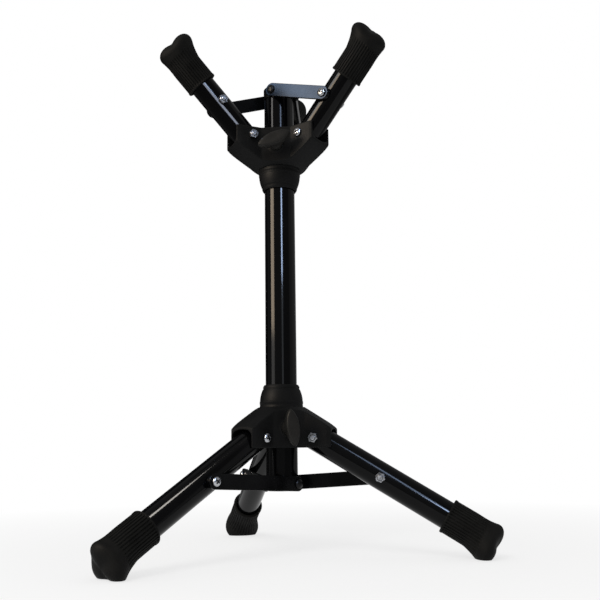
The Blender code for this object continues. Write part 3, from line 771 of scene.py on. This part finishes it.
def thread_tree():
    """Wind a thread round a shank along Z."""
    tree, given, result = new_tree("thread", {
        "Radius": "Float", "Pitch": "Float", "Turns": "Float", "Low": "Float",
        "Finish": "Material",
    })
    root = sum_of(tree, "SUBTRACT", given["Radius"], sum_of(tree, "MULTIPLY", given["Pitch"], 0.30))
    path = step(tree, "GeometryNodeCurveSpiral", {
        "Resolution": 24, "Rotations": given["Turns"], "Start Radius": root,
        "End Radius": root, "Height": sum_of(tree, "MULTIPLY", given["Pitch"], given["Turns"]),
    })
    ridge = step(tree, "GeometryNodeCurvePrimitiveCircle", {
        "Resolution": 6, "Radius": sum_of(tree, "MULTIPLY", given["Pitch"], 0.30),
    })
    wound = step(tree, "GeometryNodeCurveToMesh", {
        "Curve": path, "Profile Curve": ridge, "Fill Caps": True,
    })
    lift = step(tree, "ShaderNodeCombineXYZ", {"Z": given["Low"]})
    placed = step(tree, "GeometryNodeTransform", {"Geometry": wound, "Translation": lift})
    both = tree.nodes.new("GeometryNodeJoinGeometry")
    tree.links.new(placed, both.inputs[0])
    tree.links.new(given["Shape"], both.inputs[0])
    return close_tree(tree, both.outputs[0], given, result)


def cross_recess(top):
    """Two crossed wedges that cut the driver's recess into a head."""
    wedges = []
    for quarter in (0, 1):
        rings = []
        for height, half, side in ((top + 0.0005, 0.0030, 0.0007), (top - 0.0018, 0.0012, 0.0005)):
            rings.append([(-half, -side, height), (half, -side, height),
                          (half, side, height), (-half, side, height)])
        turn = turn_z(math.radians(20 + 90 * quarter))
        wedges.append(cutter(loft("recess", rings), turn))
    return wedges


def screw_mesh(name, seat, tail):
    """A pan head screw along Z, its head on the seat and its thread ending at the tail."""
    top = seat + HEAD_HEIGHT
    profile = [(0, top)]
    for part in range(1, 11):
        angle = math.pi / 2 * part / 10
        profile.append((
            HEAD_RADIUS * math.sin(angle) ** 0.9,
            seat + 0.0009 + (HEAD_HEIGHT - 0.0009) * math.cos(angle),
        ))
    profile += [(HEAD_RADIUS, seat + 0.0002), (HEAD_RADIUS - 0.0002, seat), (SHANK_RADIUS, seat)]
    profile += [(SHANK_RADIUS, tail + 0.0004), (SHANK_RADIUS - 0.0004, tail), (0, tail)]
    plain = carved(turned(name, profile, 48), cross_recess(top))
    return smooth(grown(name, THREAD, {
        "Radius": THREAD_RADIUS, "Pitch": THREAD_PITCH, "Turns": 9.0, "Low": tail + 0.0004,
        "Finish": ZINC,
    }, plain), 30)


def nut_mesh():
    """A hexagon nut with chamfered corners and a locking collar."""
    body = turned("nut", [(0, 0), (NUT_CORNER, 0), (NUT_CORNER, -0.0034), (0, -0.0034)], 6)
    reach = NUT_CORNER + 0.0002
    cone = turned("nut_cone", [
        (0, 0.0), (0.0041, 0.0), (reach, -0.0006), (reach, -0.0028), (0.0041, -0.0034),
        (0, -0.0034),
    ], 64)
    body = carved(body, [cutter(cone)], "INTERSECT")
    collar = turned("nut_collar", [
        (0, -0.0030), (0.0037, -0.0030), (0.0037, -0.0037), (0.0034, -0.0040), (0, -0.0040),
    ], 48)
    body = carved(body, [cutter(collar)], "UNION")
    return smooth(carved(body, [round_cutter(BOLT_HOLE, -0.01, 0.01, move(), 48)]), 30)


ZINC = zinc_plate()
THREAD = thread_tree()
LOCK_NUT = nut_mesh()
pivot_screw = screw_mesh("pivot_screw", PIVOT_SEAT, -PIVOT_SEAT - 0.0050)
for place in limb_places():
    across = place["pivot"] @ SIDEWAYS
    name = place["name"]
    dress(f"{name}_pivot_screw", pivot_screw, across, ZINC, f"{name}_pivot_bolt")
    nut_place = across @ move(z=-PIVOT_SEAT) @ turn_z(math.radians(12))
    dress(f"{name}_pivot_locknut", LOCK_NUT, nut_place, ZINC, f"{name}_pivot_nut")


# Links. Flat steel bars with round ends and a pressed spacing boss, in satin black paint.
# A screw and lock nut join each to its limb, and a low blackened rivet to the end block.

LINK_HALF = 0.00675
LINK_INNER_FACE = 0.0153
LINK_THICKNESS = 0.0025
LINK_SEAT = LINK_INNER_FACE + LINK_THICKNESS + 0.0003
RIVET_RADIUS = 0.0044


def bar_tree():
    """A flat bar from the origin along Z with round ends and a hole at each."""
    tree, given, result = new_tree("bar", {
        "Length": "Float", "Half Width": "Float", "Inner Face": "Float",
        "Thickness": "Float", "Hole": "Float", "Finish": "Material",
    })
    width = sum_of(tree, "MULTIPLY", given["Half Width"], 2.0)
    outline = step(tree, "GeometryNodeCurvePrimitiveQuadrilateral", {
        "Width": width, "Height": sum_of(tree, "ADD", given["Length"], width),
    })
    rounded = step(tree, "GeometryNodeFilletCurve", {
        "Curve": outline, "Count": 20, "Limit Radius": True,
        "Radius": sum_of(tree, "MULTIPLY", given["Half Width"], 0.9999),
    }, mode="POLY")
    centred = step(tree, "ShaderNodeCombineXYZ", {
        "Y": sum_of(tree, "MULTIPLY", given["Length"], 0.5),
    })
    curves = tree.nodes.new("GeometryNodeJoinGeometry")
    bar = step(tree, "GeometryNodeTransform", {"Geometry": rounded, "Translation": centred})
    tree.links.new(bar, curves.inputs[0])
    for distance in (0.0, given["Length"]):
        hole = step(tree, "GeometryNodeCurvePrimitiveCircle", {
            "Resolution": 32, "Radius": given["Hole"],
        })
        there = step(tree, "ShaderNodeCombineXYZ", {"Y": distance})
        placed = step(tree, "GeometryNodeTransform", {"Geometry": hole, "Translation": there})
        tree.links.new(placed, curves.inputs[0])
    sheet = step(tree, "GeometryNodeFillCurve", {"Curve": curves.outputs[0]}, mode="NGONS")
    cut = step(tree, "GeometryNodeExtrudeMesh", {
        "Mesh": sheet, "Offset Scale": given["Thickness"], "Individual": False,
    })
    under = step(tree, "GeometryNodeFlipFaces", {"Mesh": sheet})
    solid = tree.nodes.new("GeometryNodeJoinGeometry")
    tree.links.new(cut, solid.inputs[0])
    tree.links.new(under, solid.inputs[0])
    merged = step(tree, "GeometryNodeMergeByDistance", {
        "Geometry": solid.outputs[0], "Distance": 0.00001,
    })
    return close_tree(tree, merged, given, result)


def link_paint():
    """Satin black paint over the flat bar's fine rolling marks."""
    material, shader = finish("satin_black_paint_look", (0.0024, 0.0025, 0.0029), 0.20, 0.09)
    cloud = mottle(material, 60.0)
    rough(material, shader, cloud, 0.16, 0.26)
    shaded(material, shader, cloud, (0.0016, 0.0017, 0.0020), (0.0032, 0.0033, 0.0038))
    grain(material, shader, mottle(material, 1500.0, 2.0), 0.10, 0.00004)
    return material


def black_steel():
    material, shader = finish("black_steel_look", (0.0040, 0.0040, 0.0044), 0.34, 0.16)
    stain = mottle(material, 300.0, 3.0)
    rough(material, shader, stain, 0.28, 0.44)
    shaded(material, shader, stain, (0.0030, 0.0030, 0.0034), (0.0060, 0.0060, 0.0066))
    return material


def link_vector(tripod):
    """From the link's outer hole to its inner one, outwards and up in its hub's directions."""
    outwards = PIVOT_RADIUS + tripod["bolt"] * math.cos(tripod["tilt"])
    upwards = -tripod["bolt"] * math.sin(tripod["tilt"])
    return Vector((tripod["offset"] - outwards, -tripod["drop"] - upwards))


def link_swing(tripod):
    """How far the link is turned from its limb's direction."""
    vector = link_vector(tripod)
    tilt = tripod["tilt"]
    along = vector.dot(Vector((math.cos(tilt), -math.sin(tilt))))
    down = vector.dot(Vector((-math.sin(tilt), -math.cos(tilt))))
    return math.atan2(down, along)


def link_mesh(name, length):
    flat = grown(name, bar_tree(), {
        "Length": length, "Half Width": LINK_HALF, "Thickness": LINK_THICKNESS,
        "Hole": BOLT_HOLE, "Finish": LINK_PAINT,
    })
    flat.transform(move(y=LINK_INNER_FACE) @ Matrix(
        ((1, 0, 0, 0), (0, 0, 1, 0), (0, 1, 0, 0), (0, 0, 0, 1))
    ))
    flat.flip_normals()
    bar = cutter(flat)
    bevel = bar.modifiers.new("edges", "BEVEL")
    bevel.width = 0.00045
    bevel.segments = 3
    bevel.limit_method = "ANGLE"
    bpy.context.view_layer.update()
    depsgraph = bpy.context.evaluated_depsgraph_get()
    eased = bpy.data.meshes.new_from_object(bar.evaluated_get(depsgraph))
    bpy.data.objects.remove(bar)
    boss = turned("boss", [
        (BOLT_HOLE, 0.0166), (0.0062, 0.0166), (0.0062, 0.0131), (0.0059, 0.0128),
        (BOLT_HOLE, 0.0128),
    ], 64, closed=True)
    joined = carved(eased, [cutter(boss, SIDEWAYS)], "UNION")
    return smooth(joined, 8)


def rivet_mesh():
    profile = [(0, LINK_SEAT + 0.0024)]
    for part in range(1, 11):
        angle = math.pi / 2 * part / 10
        profile.append((
            RIVET_RADIUS * math.sin(angle) ** 0.85, LINK_SEAT + 0.0004 + 0.0020 * math.cos(angle)
        ))
    profile += [(RIVET_RADIUS, LINK_SEAT + 0.0001), (RIVET_RADIUS - 0.0001, LINK_SEAT)]
    profile += [(THREAD_RADIUS, LINK_SEAT), (THREAD_RADIUS, LINK_INNER_FACE)]
    profile.append((0, LINK_INNER_FACE))
    return smooth(turned("rivet", profile, 48), 30)


LINK_PAINT = link_paint()
BLACK_STEEL = black_steel()
rivet = rivet_mesh()
link_screw = screw_mesh("link_screw", LINK_SEAT, -0.0178)
LINK_BAR = {
    tripod["limb"]: link_mesh(f"{tripod['limb']}_link", link_vector(tripod).length)
    for tripod in TRIPODS.values()
}
for place in limb_places():
    tripod = place["tripod"]
    link = place["link"]
    joint = place["along"] @ move(z=tripod["bolt"])
    bar_place = joint @ Matrix.Rotation(link_swing(tripod), 4, "Y")
    dress(f"{link}_bar", LINK_BAR[tripod["limb"]], bar_place, LINK_PAINT, link)
    dress(f"{link}_screw", link_screw, joint @ SIDEWAYS, ZINC, f"{link}_bolt")
    nut_place = joint @ SIDEWAYS @ move(z=-0.0128) @ turn_z(math.radians(21))
    dress(f"{link}_locknut", LOCK_NUT, nut_place, ZINC, f"{link}_nut")
    rivet_place = bar_place @ move(z=link_vector(tripod).length) @ SIDEWAYS
    dress(f"{link}_rivet", rivet, rivet_place, BLACK_STEEL, f"{link}_inner_pivot")


# Wing knobs. A round neck and a leaf-shaped wing with soft edges, in the hub's plastic,
# moulded on a threaded stud that clamps the hub to the column.

KNOB_START = KNOB_BOSS_REACH + 0.0003
KNOB_NECK = 0.0072
KNOB_HALF_LENGTH = 0.0170
KNOB_HALF_WIDTH = 0.0062
KNOB_SPIN = {"lower": math.radians(8), "upper": math.radians(112)}
KNOB_ROWS = [
    # depth, share of the wing's outline, scale
    (0.0, 0.0, 0.95), (0.0005, 0.0, 1.0), (0.0030, 0.0, 1.0), (0.0045, 0.10, 1.0),
    (0.0060, 0.45, 0.95), (0.0075, 0.80, 0.94), (0.0090, 0.97, 0.98), (0.0105, 1.0, 1.0),
    (0.0125, 1.0, 1.01), (0.0145, 1.0, 0.99), (0.0155, 1.0, 0.96), (0.0162, 1.0, 0.90),
    (0.0166, 1.0, 0.80), (0.0167, 1.0, 0.55), (0.0165, 1.0, 0.25),
]
STUD_RADIUS = 0.0030
STUD_PITCH = 0.0010


def knob_mesh():
    rings = []
    sides = 96
    for depth, blend, scale in KNOB_ROWS:
        ring = []
        for side in range(sides):
            angle = 2 * math.pi * side / sides
            cosine = math.cos(angle)
            sine = math.sin(angle)
            leaf = math.copysign(abs(sine) ** 1.30, sine)
            along = KNOB_NECK * cosine * (1 - blend) + KNOB_HALF_LENGTH * cosine * blend
            across = KNOB_NECK * sine * (1 - blend) + KNOB_HALF_WIDTH * leaf * blend
            ring.append((along * scale, across * scale, KNOB_START + depth))
        rings.append(ring)
    hole = round_cutter(STUD_RADIUS + 0.0003, 0.0, KNOB_START + 0.0123, move())
    return smooth(carved(loft("knob", rings), [hole]), 50)


def stud_mesh():
    low = COLUMN_RADIUS + 0.0003
    high = KNOB_BOSS_REACH + 0.0123
    core = STUD_RADIUS - 0.0003
    plain = turned("stud", [
        (0, high), (core, high), (core, low + 0.0004), (core - 0.0005, low), (0, low),
    ], 32)
    return smooth(grown("stud", THREAD, {
        "Radius": STUD_RADIUS, "Pitch": STUD_PITCH, "Turns": 22.0, "Low": low + 0.0008,
        "Finish": BLACK_STEEL,
    }, plain), 30)


# Painted light: the wing's base colour is about twice the hub's, lightened for the light that its
# face catches.
PAINTED_LIGHT_KNOB_PLASTIC = moulded_plastic("knob_plastic_look", (0.0152, 0.0146, 0.0136), 0.48, 0.12)
knob = knob_mesh()
stud = stud_mesh()
for prefix, place in HUB_PLACE.items():
    knob_place = place @ KNOB_AXIS @ turn_z(KNOB_SPIN[prefix])
    dress(f"{prefix}_knob_wing", knob, knob_place, PAINTED_LIGHT_KNOB_PLASTIC, f"{prefix}_knob")
    dress(f"{prefix}_knob_thread", stud, knob_place, BLACK_STEEL, f"{prefix}_knob_stud")


# Camera. The photograph's place, found from the tube, limbs, links and bolts.

def camera_axes(pan, pitch, roll):
    forward = Vector((
        math.sin(pan) * math.cos(pitch), math.cos(pan) * math.cos(pitch), math.sin(pitch)
    ))
    right = Vector((math.cos(pan), -math.sin(pan), 0))
    up = right.cross(forward)
    rolled_right = math.cos(roll) * right + math.sin(roll) * up
    rolled_up = -math.sin(roll) * right + math.cos(roll) * up
    return Matrix((rolled_right, rolled_up, -forward)).transposed().to_4x4()


camera_data = bpy.data.cameras.new("camera")
camera_data.sensor_width = 36.0
camera_data.lens = 47.3
camera = bpy.data.objects.new("camera", camera_data)
bpy.context.scene.collection.objects.link(camera)
camera_place = camera_axes(math.radians(1.44), math.radians(10.73), -0.0132)
camera_place.translation = PIVOT_LEVEL.translation + Vector((0.0, -0.76255, -0.01059))
camera.matrix_world = camera_place
bpy.context.scene.camera = camera


# Studio. A white room: a pale floor that keeps the stand's soft shadow and fades to white
# further out, soft light from all round, and three tall narrow lamps that the paint mirrors.

def white_room():
    world = bpy.data.worlds.new("studio")
    bpy.context.scene.world = world
    world.use_nodes = True
    nodes = world.node_tree.nodes
    links = world.node_tree.links
    soft = nodes["Background"]
    soft.inputs["Color"].default_value = (1.0, 1.0, 1.0, 1.0)
    soft.inputs["Strength"].default_value = 0.55
    white = nodes.new("ShaderNodeBackground")
    white.inputs["Color"].default_value = (1.0, 1.0, 1.0, 1.0)
    white.inputs["Strength"].default_value = 1.0
    mix = nodes.new("ShaderNodeMixShader")
    links.new(seen_white(world.node_tree), mix.inputs["Fac"])
    links.new(soft.outputs["Background"], mix.inputs[1])
    links.new(white.outputs["Background"], mix.inputs[2])
    links.new(mix.outputs["Shader"], nodes["World Output"].inputs["Surface"])


def seen_white(tree):
    """1 for the rays that show the background: to the camera, off gloss and through glass."""
    path = tree.nodes.new("ShaderNodeLightPath")
    seen = path.outputs["Is Camera Ray"]
    for kind in ("Is Glossy Ray", "Is Transmission Ray"):
        most = tree.nodes.new("ShaderNodeMath")
        most.operation = "MAXIMUM"
        tree.links.new(seen, most.inputs[0])
        tree.links.new(path.outputs[kind], most.inputs[1])
        seen = most.outputs["Value"]
    return seen


def lamp(name, place, size, power, colour, aim=(0.0, 0.0, 0.25)):
    data = bpy.data.lights.new(name, "AREA")
    data.shape = "RECTANGLE"
    data.size, data.size_y = size
    data.energy = power
    data.color = colour
    item = bpy.data.objects.new(name, data)
    bpy.context.scene.collection.objects.link(item)
    item.location = place
    direction = Vector(aim) - Vector(place)
    item.rotation_euler = direction.to_track_quat("-Z", "Y").to_euler()
    return item


def floor_look():
    """White where it is seen, less a share near the stand that shows its shadow."""
    material, shader = finish("floor_look", (0.90, 0.90, 0.90), 0.9, 0.2)
    tree = material.node_tree
    links = tree.links
    place = tree.nodes.new("ShaderNodeTexCoord")
    length = tree.nodes.new("ShaderNodeVectorMath")
    length.operation = "LENGTH"
    links.new(place.outputs["Object"], length.inputs[0])
    fade = tree.nodes.new("ShaderNodeMapRange")
    for label, value in (("From Min", 0.22), ("From Max", 0.75), ("To Min", 0.72), ("To Max", 1.0)):
        fade.inputs[label].default_value = value
    links.new(length.outputs["Value"], fade.inputs["Value"])
    share = tree.nodes.new("ShaderNodeMath")
    share.operation = "MULTIPLY"
    links.new(seen_white(tree), share.inputs[0])
    links.new(fade.outputs["Result"], share.inputs[1])
    white = tree.nodes.new("ShaderNodeEmission")
    mix = tree.nodes.new("ShaderNodeMixShader")
    links.new(share.outputs["Value"], mix.inputs["Fac"])
    links.new(shader.outputs["BSDF"], mix.inputs[1])
    links.new(white.outputs["Emission"], mix.inputs[2])
    links.new(mix.outputs["Shader"], tree.nodes["Material Output"].inputs["Surface"])
    return material


bpy.context.scene.view_settings.view_transform = "Standard"
white_room()
key = lamp("key", (-0.55, -1.30, 1.70), (0.8, 0.8), 14.0, (1.0, 0.99, 0.97))
key.visible_glossy = False


def light_only(item, pieces, state="INCLUDE"):
    """Let a lamp reach these pieces only, or all but these."""
    reached = bpy.data.collections.new(f"{item.name}_pieces")
    for piece in pieces:
        reached.objects.link(piece)
    item.light_linking.receiver_collection = reached
    for entry in reached.collection_objects:
        entry.light_linking.link_state = state


def made_of(material):
    return [
        item for item in bpy.data.objects
        if item.type == "MESH" and material.name in item.data.materials
    ]


for name, place, size, power, colour in (
    # Seen only as the narrow lights that the paint mirrors
    ("strip_front", (0.28, -1.36, 0.74), (0.21, 0.36), 18.0, (0.53, 0.69, 1.0)),
    ("strip_front_high", (0.28, -1.36, 1.24), (0.21, 0.64), 8.0, (0.53, 0.69, 1.0)),
    ("strip_front_low", (0.28, -1.36, 0.39), (0.26, 0.34), 0.6, (0.85, 0.92, 1.0)),
    ("window_left", (-1.20, -0.68, 0.66), (0.64, 0.50), 21.0, (1.0, 0.82, 0.62)),
    ("window_left_low", (-1.20, -0.68, 0.25), (0.60, 0.32), 1.8, (1.0, 0.98, 0.96)),
    ("window_left_high", (-1.20, -0.68, 1.07), (0.56, 0.32), 6.5, (1.0, 0.98, 0.95)),
    ("ceiling", (0.25, -0.58, 1.65), (0.30, 0.28), 12.0, (1.0, 0.95, 0.88)),
    ("screen_arm", (0.22, -1.36, 0.385), (0.36, 0.30), 10.0, (0.72, 0.80, 1.0)),
    ("screen_link", (-1.16, -0.42, 1.10), (0.60, 0.60), 16.0, (0.30, 0.56, 1.0)),
):
    strip = lamp(name, place, size, power, colour)
    strip.visible_diffuse = False
    if name.startswith("strip_front"):
        light_only(strip, made_of(RUBBER) + made_of(HUB_PLASTIC) + made_of(PAINTED_LIGHT_KNOB_PLASTIC), "EXCLUDE")
    elif name == "screen_arm":
        light_only(strip, [bpy.data.objects["upper_arm_left_tube"]])
    elif name == "ceiling":
        light_only(strip, [bpy.data.objects["lower_leg_left_tube"]])
    elif name == "screen_link":
        light_only(strip, made_of(LINK_PAINT))


def card(name, corners, grey):
    """A grey card beside the view, seen only where the stand mirrors it."""
    mesh = bpy.data.meshes.new(name)
    mesh.from_pydata(corners, [], [tuple(range(len(corners)))])
    material = bpy.data.materials.new(f"{name}_look")
    material.use_nodes = True
    tree = material.node_tree
    tree.nodes.clear()
    glow = tree.nodes.new("ShaderNodeEmission")
    glow.inputs["Color"].default_value = (grey, grey, grey, 1.0)
    end = tree.nodes.new("ShaderNodeOutputMaterial")
    tree.links.new(glow.outputs["Emission"], end.inputs["Surface"])
    mesh.materials.append(material)
    item = bpy.data.objects.new(name, mesh)
    bpy.context.scene.collection.objects.link(item)
    item.visible_camera = False
    item.visible_diffuse = False
    item.visible_shadow = False


ROOM_REACH = 2.0
ROOM_HEIGHT = 2.4


def room_corner(degrees, reach, height):
    """A place in the room by its direction, counted from the camera's side to the right."""
    angle = math.radians(degrees)
    return (reach * math.sin(angle), -reach * math.cos(angle), height)


for start, end, grey, sheet in (
    # Directions, grey of the wall, and how far the white sheet reaches
    (-20, 20, 0.35, 0.55), (20, 68, 0.22, 0.66), (68, 112, 0.50, 0.66), (112, 150, 0.30, 0.60),
    (150, 182, 0.30, 0.55), (182, 250, 0.03, 0.50), (250, 285, 0.25, 0.46),
    (285, 310, 0.45, 0.46), (310, 340, 0.35, 0.50),
):
    edges = (room_corner(start, ROOM_REACH, 0.0), room_corner(end, ROOM_REACH, 0.0))
    wall = [*edges, *(room_corner(angle, ROOM_REACH, ROOM_HEIGHT) for angle in (end, start))]
    card(f"room_wall_{start}", wall, grey)
    ground = [room_corner(angle, sheet, 0.002) for angle in (start, end)]
    ground += [room_corner(angle, ROOM_REACH, 0.002) for angle in (end, start)]
    card(f"room_ground_{start}", ground, 0.22)
ceiling_corners = [room_corner(45 + 90 * side, 2.9, ROOM_HEIGHT) for side in range(4)]
card("room_ceiling", ceiling_corners, 0.35)

floor_mesh = bpy.data.meshes.new("floor")
floor_shape = bmesh.new()
bmesh.ops.create_grid(floor_shape, x_segments=1, y_segments=1, size=6.0)
floor_shape.to_mesh(floor_mesh)
floor_shape.free()
floor_mesh.transform(move(z=-0.0005))
floor = bpy.data.objects.new("floor", floor_mesh)
bpy.context.scene.collection.objects.link(floor)
floor_mesh.materials.append(floor_look())
